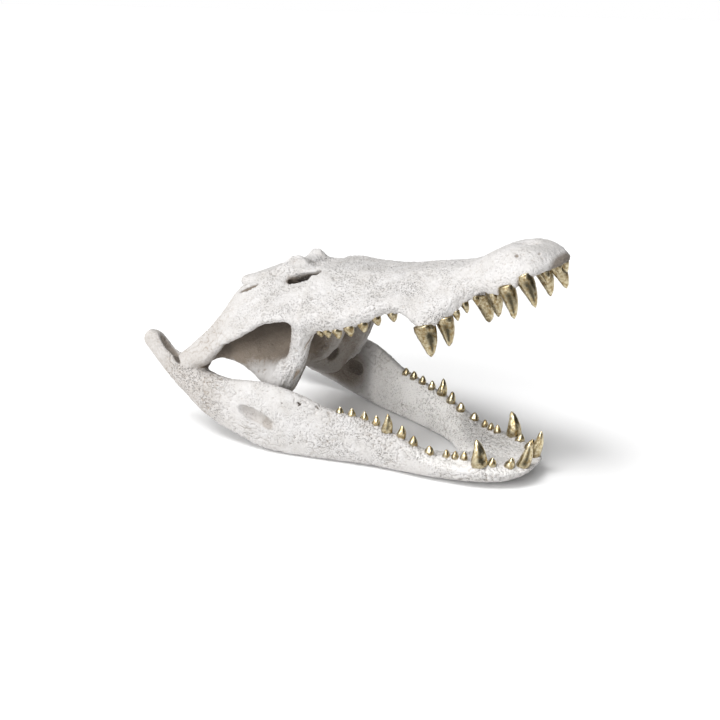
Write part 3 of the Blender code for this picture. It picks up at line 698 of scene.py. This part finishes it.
def texture(mesh):
    # the rough, pitted face of the bone: moves the points and leaves the wash and painted shade in the low
    # ones, and paints the lower jaw's inner faces lighter as painted light
    spots = spotsOf(mesh)
    normals = normalsOf(mesh)
    shut = hollowness(mesh, normals)
    isUpper = ofUpperJaw(spots)
    inUpper = placesIn(raised, spots)
    inLower = placesIn(layFlat, spots)
    places = np.where(isUpper[:, None] > 0.5, inUpper, inLower)
    print("hollows found, widest shut", round(float(np.percentile(shut, 99)), 2))
    pitted = np.where(
        isUpper > 0.5,
        np.interp(inUpper[:, 0], *zip(*upperPitted)),
        np.interp(inLower[:, 0], *zip(*lowerPitted)),
    )
    # the pits come in patches, and fade on the inside
    patches = np.clip(ripples(places, (24, 20, 20)) * 0.9 + 0.85, 0.45, 1)
    outer = np.clip(1 - (shut - 0.34) * 5, 0.12, 1)
    pitted = pitted * patches * outer
    small = closePits(places)
    sink = small * pitted * relief["fineDepth"]
    # furrows run where slow noise passes through zero
    curls = np.clip(1 - np.abs(ripples(places, (9, 7, 7))) * 9, 0, 1) * outer
    curls *= np.clip(ripples(places, (40, 30, 30)) * 2 + 0.75, 0, 1)
    sink += curls * relief["crease"] * (1.7 - 0.7 * isUpper)
    print("small pits and furrows sunk")
    tree = KDTree(len(spots))
    for i, spot in enumerate(spots):
        tree.insert(spot, i)
    tree.balance()
    chance = random.Random(bones["seed"])
    washAndShade = small * pitted * (0.6 - 0.15 * isUpper) + curls * (0.6 - 0.25 * isUpper)
    deepWashAndShade = np.zeros(len(spots))
    for k in range(relief["holes"]):
        i = chance.randrange(len(spots))
        size = chance.uniform(*relief["holeRadius"]) * mm
        long = size * relief["holeLong"]
        depth = chance.uniform(*relief["holeDepth"])
        if chance.random() > pitted[i] * 1.1:
            continue
        normal = Vector(normals[i])
        where = raised if isUpper[i] > 0.5 else layFlat
        run = where.to_3x3() @ Vector((1, 0, chance.uniform(-0.5, 0.5)))
        run = (run - normal * run.dot(normal)).normalized()
        cross = normal.cross(run)
        for spot, j, far in tree.find_range(spots[i], long):
            apart = spot - Vector(spots[i])
            d = (apart.dot(run) / long) ** 2 + (apart.dot(cross) / size) ** 2
            if d < 1:
                bowl = (1 - d) ** 1.3
                sink[j] = max(sink[j], depth * bowl)
                washAndShade[j] = max(washAndShade[j], relief["holeWashAndShade"] * bowl)
    # the bone swells round each tooth, with wash and painted shade in the angle between them
    for root, tip, row, side, jaw in sockets:
        wide = row[4] * mm
        run = (tip - root).normalized()
        for spot, j, far in tree.find_range(root, wide * 1.15):
            apart = spot - root
            along = apart.dot(run) / wide
            across = (apart - run * apart.dot(run)).length / wide
            near = math.exp(-(along / 0.4) ** 2)
            ring = math.exp(-((across - 0.64) / 0.16) ** 2)
            sink[j] -= relief["collar"] * min(max(row[3] / 20, 0.5), 1) * near * ring
            washAndShade[j] = max(washAndShade[j], relief["collarWashAndShade"] * near * math.exp(-((across - 0.5) / 0.08) ** 2))
    for jaw, sides, centre, radii, turn, depth, darkening, paintedDark in marks:
        cos, sin = math.cos(math.radians(turn)), math.sin(math.radians(turn))
        own = isUpper > 0.5 if jaw == "upper" else isUpper < 0.5
        for side in sides:
            apart = places - np.array((centre[0], side * centre[1], centre[2]))
            along = apart[:, 0] * cos - apart[:, 2] * sin
            upward = apart[:, 0] * sin + apart[:, 2] * cos
            d = (along / radii[0]) ** 2 + (apart[:, 1] / radii[1]) ** 2 + (upward / radii[2]) ** 2
            bowl = np.where(own, np.clip(1 - d, 0, 1), 0)
            sink += depth * bowl ** 0.7
            soft = np.clip(bowl * 1.8, 0, 1)
            washAndShade = np.maximum(washAndShade, darkening * soft)
            deepWashAndShade = np.maximum(deepWashAndShade, paintedDark * soft)
    print("marks made")
    swell = ripples(places, (10, 10, 10)) * relief["broad"]
    swell = swell + ripples(places, (4.2, 4.2, 4.2)) * relief["middling"]
    swell += ripples(places, (2.6, 2.6, 2.6)) * (relief["rough"] + relief["roughPitted"] * pitted)
    # the strut is streaked from top to bottom, most on its front, and the nose is lined lengthways
    streaked = isUpper * (inUpper[:, 2] < 4) * (inUpper[:, 0] < 160) * (inUpper[:, 0] > 70)
    streaked *= np.clip((np.abs(inUpper[:, 1]) - 60) / 8, 0, 1)
    slope = np.stack([
        inUpper[:, 0] * 0.62 + inUpper[:, 2] * 0.78,
        inUpper[:, 1],
        inUpper[:, 2] * 0.62 - inUpper[:, 0] * 0.78,
    ], axis=1)
    lines = ripples(slope, (26, 2.4, 2.4))
    swell += streaked * lines * relief["streak"]
    ahead = np.clip(normals @ np.array(raised.to_3x3() @ Vector((1, 0, 0))) * 1.6 - 0.3, 0, 1)
    washAndShade = np.maximum(washAndShade, streaked * np.clip(0.25 * ahead - lines * 1.8 * (0.35 + ahead), 0, 1))
    onNose = isUpper * np.clip((inUpper[:, 0] - 385) / 30, 0, 1)
    swell += onNose * ripples(inUpper, (22, 22, 2.0)) * relief["noseLine"]
    spots = spots + normals * ((swell * np.clip(1.3 - shut, 0.4, 1) - sink) * mm)[:, None]
    low, high = np.array(cadBox[0]), np.array(cadBox[1])
    setSpots(mesh, np.clip(spots, low, high))
    # the back of the skull took a little more of the wash
    back = np.clip((95 - places[:, 0]) / 60, 0, 1)
    washAndShade = np.maximum(washAndShade, back * (0.48 + 0.5 * curls + 0.25 * small))
    # painted shade: the shut-in places, the palate's underside and the lower jaw's inner faces are
    # darkened, added to the wash
    inside, insideDeep = washAndShadeInside(places, isUpper, shut)
    washAndShade = np.clip(np.maximum(washAndShade, inside) + 0.3 * np.minimum(washAndShade, inside), 0, 1)
    deepWashAndShade = np.clip(np.maximum(deepWashAndShade, insideDeep), 0, 1)
    # painted light: the inner faces of the lower jaw and the level top of its front are painted lighter
    # and carry almost no wash
    paintedLight = (1 - isUpper) * np.clip(-normals[:, 1] * np.sign(inLower[:, 1]) * 2 - 0.4, 0, 1)
    paintedLight *= np.clip((inLower[:, 0] - 128) / 14, 0, 1)
    level = (1 - isUpper) * np.clip(normals[:, 2] * 1.5 - 0.3, 0, 0.4)
    level *= np.clip((inLower[:, 0] - 250) / 40, 0, 1)
    paintedLight = np.maximum(paintedLight, level)
    layers = {"washAndShade": washAndShade, "darkestWashAndShade": deepWashAndShade, "pitted": pitted, "paintedLight": paintedLight, "upper": isUpper}
    for name, values in layers.items():
        layer = mesh.attributes.new(name, 'FLOAT', 'POINT')
        layer.data.foreach_set("value", values)


texture(casting.data)
print("texture done")

# the planes on which the solids are cut, mm in the upper jaw's frame
snoutCut = 171
palateBack = 50
palateFront = 158
palateTop = 8
cheekCut = 46


def pieceOf(middle, ofUpper):
    # which piece a face belongs to, from its place
    if not ofUpper:
        return "jawBoneRight" if middle.y < 0 else "jawBoneLeft"
    spot = raised.inverted() @ middle / mm
    if spot.x > noseCut:
        return "noseBone"
    if spot.x > snoutCut:
        return "snoutBone"
    if palateBack < spot.x < palateFront and spot.z < palateTop:
        return "palateBone"
    if abs(spot.y) < cheekCut:
        return "braincaseBone"
    return "cheekBoneRight" if spot.y < 0 else "cheekBoneLeft"


standsFor = {
    "jawBoneRight": "mandible_right",
    "jawBoneLeft": "mandible_left",
    "noseBone": "premaxilla",
    "snoutBone": "snout",
    "palateBone": "palate",
    "braincaseBone": "braincase",
    "cheekBoneRight": "cheek_right",
    "cheekBoneLeft": "cheek_left",
}


def ownersOf(form):
    # the piece of each face; a few faces cut off from the rest of their piece go to the piece beside them
    ownership = form.verts.layers.float["upper"]
    owners = []
    for face in form.faces:
        share = sum(vert[ownership] for vert in face.verts) / len(face.verts)
        owners.append(pieceOf(face.calc_center_median(), share > 0.5))
    seen = [False] * len(owners)
    for start in form.faces:
        if seen[start.index]:
            continue
        seen[start.index] = True
        own = owners[start.index]
        island = []
        queue = [start]
        beside = {}
        while queue:
            face = queue.pop()
            island.append(face.index)
            for edge in face.edges:
                for other in edge.link_faces:
                    k = other.index
                    if owners[k] != own:
                        beside[owners[k]] = beside.get(owners[k], 0) + 1
                    elif not seen[k]:
                        seen[k] = True
                        queue.append(other)
        if beside and len(island) < bones["island"]:
            for k in island:
                owners[k] = max(beside, key=beside.get)
    return owners


def splitCasting():
    # parts the casting along the same planes as the solids, each piece closed at its cut
    mesh = casting.data
    smooth = normalsOf(mesh)
    layer = mesh.attributes.new("smooth", 'FLOAT_VECTOR', 'POINT')
    layer.data.foreach_set("vector", smooth.ravel())
    form = bmesh.new()
    form.from_mesh(mesh)
    for place, axis, value in (
        (raised, 0, noseCut), (raised, 0, snoutCut), (raised, 0, palateBack), (raised, 0, palateFront),
        (raised, 2, palateTop), (raised, 1, cheekCut), (raised, 1, -cheekCut), (layFlat, 1, 0),
    ):
        point = Vector((0, 0, 0))
        point[axis] = value * mm
        way = Vector((0, 0, 0))
        way[axis] = 1
        bmesh.ops.bisect_plane(
            form, geom=form.verts[:] + form.edges[:] + form.faces[:], dist=0.00002,
            plane_co=place @ point, plane_no=place.to_3x3() @ way,
        )
    print("cut along the planes")
    form.faces.index_update()
    belongs = ownersOf(form)
    for name in standsFor:
        piece = form.copy()
        piece.faces.ensure_lookup_table()
        bmesh.ops.delete(piece, geom=[f for f in piece.faces if belongs[f.index] != name], context='FACES')
        rim = [edge for edge in piece.edges if edge.is_boundary]
        caps = bmesh.ops.holes_fill(piece, edges=rim, sides=0)["faces"]
        capped = bmesh.ops.triangulate(piece, faces=caps)["faces"]
        bmesh.ops.triangulate(piece, faces=[face for face in piece.faces if len(face.verts) > 3])
        # a cap triangle that lies right on a face of the piece goes, with that face
        folded = set()
        for face in capped:
            for other in face.verts[0].link_faces:
                if other is not face and set(other.verts) == set(face.verts):
                    folded.update((face, other))
        capped = [face for face in capped if face not in folded]
        bmesh.ops.delete(piece, geom=list(folded), context='FACES')
        # a rim that the first fill left open is filled with triangles, turned as the faces beside them
        left = [edge for edge in piece.edges if edge.is_boundary]
        if left:
            made = bmesh.ops.triangle_fill(piece, use_beauty=True, edges=left)["geom"]
            made = [item for item in made if isinstance(item, bmesh.types.BMFace)]
            if any(not edge.is_contiguous for edge in left):
                bmesh.ops.reverse_faces(piece, faces=made)
            capped += made
            print(name, "has", len(left), "more rim edges closed")
        piece.faces.index_update()
        capIndex = {face.index for face in capped}
        pieceMesh = bpy.data.meshes.new(name)
        piece.to_mesh(pieceMesh)
        piece.free()
        pieceMesh.shade_smooth()
        kept = np.empty(len(pieceMesh.vertices) * 3)
        pieceMesh.attributes["smooth"].data.foreach_get("vector", kept)
        kept = kept.reshape(-1, 3)
        owners = np.empty(len(pieceMesh.loops), int)
        pieceMesh.loops.foreach_get("vertex_index", owners)
        corners = kept[owners]
        for polygon in pieceMesh.polygons:
            if polygon.index in capIndex:
                for k in polygon.loop_indices:
                    corners[k] = polygon.normal
        lengths = np.linalg.norm(corners, axis=1)[:, None]
        corners /= np.maximum(lengths, 1e-9)
        pieceMesh.normals_split_custom_set(corners)
        for spare in ("smooth", "upper"):
            pieceMesh.attributes.remove(pieceMesh.attributes[spare])
        thing = addObject(name, pieceMesh)
        thing.data.materials.clear()
        thing.data.materials.append(resinMaterial)
        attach(thing, "root")
        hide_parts(standsFor[name])
        print(name, len(pieceMesh.polygons), "faces")
    form.free()
    bpy.data.objects.remove(casting, do_unlink=True)


splitCasting()


toothForm = {
    "rings": 26,
    "around": 28,
    "sunk": 0.22,       # share of the length that stays in the bone, at least
    "swell": 1.06,      # against the solid's width
    "bow": 0.05,        # how far the middle bends out, as a share of the length
    "blunt": (0.75, 0.84),  # how much narrower the tip is than the root
    "taper": 1.4,       # above 1, a tooth keeps its width longer
    "flat": 0.92,       # width across against width along the jaw
    "fluteTowards": 0.6,    # how far the flute turns forward from the outer face
    "fluteAside": 0.3,      # radians, by chance
    "fluteWidth": 0.5,      # radians, half the width of the flute
    "fluteDepth": 0.16,     # share of the radius
    "dentSize": 230,    # per metre, how close the dents are
    "dentDepth": 0.00035,   # m
}


def toothPiece(form, root, tip, row, side, seed):
    # a blunt curved cone from a round blank, fluted and dented as the cast ones are
    chance = random.Random(seed)
    length = (tip - root).length
    wide = row[4] * mm * toothForm["swell"]
    run = (tip - root).normalized()
    patinaAndShadeLayer = form.verts.layers.float["root"]
    fluteLayer = form.verts.layers.float["flute"]
    made = bmesh.ops.create_uvsphere(
        form, u_segments=toothForm["around"], v_segments=toothForm["rings"], radius=1.0,
    )["verts"]
    turn = run.to_track_quat('Z', 'X').to_matrix()
    outward = turn.transposed() @ Vector((toothForm["fluteTowards"], side, 0))
    aside = toothForm["fluteAside"]
    face = math.atan2(outward.y, outward.x) + chance.uniform(-aside, aside)
    large = min(max((row[3] - 9) / 12, 0), 1)
    sunk = max(toothForm["sunk"] * length, 3 * mm)
    phase = chance.uniform(0, 6.28)
    blunt = chance.uniform(*toothForm["blunt"])
    for vert in made:
        t = (vert.co.z + 1) / 2
        angle = math.atan2(vert.co.y, vert.co.x)
        flat = math.hypot(vert.co.x, vert.co.y)
        along = -sunk + (length + sunk) * t
        share = max(along / length, 0)
        body = 1 - blunt * share ** toothForm["taper"]
        cap = min(1, flat * 1.6) if t > 0.5 else min(1, flat * 2.2)
        ridge = 1 + 0.04 * math.cos(2 * angle + phase) + 0.03 * math.cos(5 * angle + phase * 2)
        off = (angle - face + math.pi) % (2 * math.pi) - math.pi
        window = min(max(share * 9 - 0.2, 0), 1) * min(max((0.93 - share) * 5, 0), 1)
        narrow = toothForm["fluteWidth"] * (1.15 - 0.5 * share)
        flute = math.exp(-(off / narrow) ** 2) * window * large
        radius = wide / 2 * body * cap * ridge * (1 - toothForm["fluteDepth"] * flute)
        lean = toothForm["bow"] * length * math.sin(math.pi * min(share, 1))
        bow = turn.transposed() @ Vector((lean, 0, 0))
        around = Vector((radius * math.cos(angle), radius * toothForm["flat"] * math.sin(angle), along))
        vert.co = root + turn @ (around + bow)
        dent = noise.noise_vector(vert.co * toothForm["dentSize"] + Vector((seed, 0, 0)))
        vert.co += Vector(dent) * toothForm["dentDepth"]
        # painted shade: the hanging teeth, which face down, are browner than the standing ones
        if run.z < 0:
            vert[patinaAndShadeLayer] = min(max(1.5 - share * 1.3, 0.5), 1)
        else:
            vert[patinaAndShadeLayer] = min(max(1.1 - share * 2.2, 0), 1)
        vert[fluteLayer] = flute


def toothRow(name, chosen):
    form = bmesh.new()
    form.verts.layers.float.new("root")
    form.verts.layers.float.new("flute")
    for number, (root, tip, row, side, jaw) in enumerate(chosen):
        toothPiece(form, root, tip, row, side, number * 7 + 3)
    mesh = bpy.data.meshes.new(name)
    form.to_mesh(mesh)
    form.free()
    mesh.shade_smooth()
    mesh.materials.append(goldMaterial)
    thing = addObject(name, mesh)
    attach(thing, "root")
    return thing


noise.seed_set(bones["seed"])       # noise vectors differ from run to run without it
toothRow("teethNose", [s for s in sockets if s[4] == "upper" and s[2][0] > noseCut])
toothRow("teethSnout", [s for s in sockets if s[4] == "upper" and s[2][0] < noseCut])
toothRow("teethJawRight", [s for s in sockets if s[4] == "lower" and s[3] < 0])
toothRow("teethJawLeft", [s for s in sockets if s[4] == "lower" and s[3] > 0])
print("teeth made")


studio = {
    "floor": "F8F8F8",
    "floorSpeck": "F6F6F6",
    "sky": [                # from the horizon up
        (0.0, "FFFFFF"), (0.025, "FFFFFF"), (0.06, "6A6A6A"), (0.35, "9A9A9A"), (0.8, "C8C8C8"),
    ],
    "glowFrom": (-0.25, -0.90, 0.36),   # bright wall behind the soft box
    "glow": 1.3,
    "darkFrom": (0.95, -0.28, 0.10),    # the unlit side of the room
    "darkSide": "303030",
    "lamps": [              # direction, power, spread in degrees: a diffuser above and a soft box in front
        ("diffuser", (-0.20, -0.42, 0.88), 2.0, 26),
        ("softBox", (-0.06, -0.88, 0.42), 1.35, 36),
    ],
    "floorReach": 45,       # m, so that no edge of the floor shows
}


def whitePaper():
    # matt white background paper: even, no gloss
    material, tree, shader = newMaterial("whitePaper")
    place = node(tree, "ShaderNodeTexCoord").outputs["Object"]
    speck = node(tree, "ShaderNodeTexNoise", {"Scale": 3.0, "Detail": 2.0}, {"Vector": place})
    tone = ramp(tree, speck.outputs["Fac"], [(0.3, studio["floor"]), (0.7, studio["floorSpeck"])])
    tree.links.new(tone.outputs["Color"], shader.inputs["Base Color"])
    shader.inputs["Roughness"].default_value = 0.9
    shader.inputs["Specular IOR Level"].default_value = 0.0
    return material


form = bmesh.new()
bmesh.ops.create_circle(form, cap_ends=True, segments=64, radius=studio["floorReach"])
floorMesh = bpy.data.meshes.new("floor")
form.to_mesh(floorMesh)
form.free()
floor = addObject("floor", floorMesh)
floorMesh.materials.append(whitePaper())

world = bpy.data.worlds.new("studio")
world.use_nodes = True
tree = world.node_tree
sky = tree.nodes["Background"]
where = node(tree, "ShaderNodeTexCoord").outputs["Generated"]
split = node(tree, "ShaderNodeSeparateXYZ", links={"Vector": where})
look = node(
    tree, "ShaderNodeVectorMath", {"operation": "DOT_PRODUCT", 1: studio["glowFrom"]}, {0: where},
)
front = node(
    tree, "ShaderNodeMapRange", {"From Min": 0.6, "From Max": 0.96}, {"Value": look.outputs["Value"]},
)
aside = node(
    tree, "ShaderNodeVectorMath", {"operation": "DOT_PRODUCT", 1: studio["darkFrom"]}, {0: where},
)
unlit = node(
    tree, "ShaderNodeMapRange", {"From Min": 0.2, "From Max": 0.75}, {"Value": aside.outputs["Value"]},
)
dimmed = node(tree, "ShaderNodeMix", {"data_type": "RGBA", 7: linear(studio["darkSide"])}, {
    "Factor": unlit.outputs["Result"],
    6: ramp(tree, split.outputs["Z"], studio["sky"]).outputs["Color"],
})
light = node(tree, "ShaderNodeMix", {"data_type": "RGBA", 7: [studio["glow"]] * 3 + [1.0]}, {
    "Factor": front.outputs["Result"],
    6: dimmed.outputs[2],
})
# the room's walls look white to the eye
seen = node(tree, "ShaderNodeLightPath").outputs["Is Camera Ray"]
shown = node(
    tree, "ShaderNodeMix", {"data_type": "RGBA", 7: (1, 1, 1, 1)}, {"Factor": seen, 6: light.outputs[2]},
)
tree.links.new(shown.outputs[2], sky.inputs["Color"])
bpy.context.scene.world = world

for name, way, power, spread in studio["lamps"]:
    lampData = bpy.data.lights.new(name, 'SUN')
    lampData.energy = power
    lampData.angle = math.radians(spread)
    addObject(name, lampData).rotation_euler = Vector(way).to_track_quat('Z', 'Y').to_euler()

bpy.context.scene.view_settings.view_transform = 'Standard'
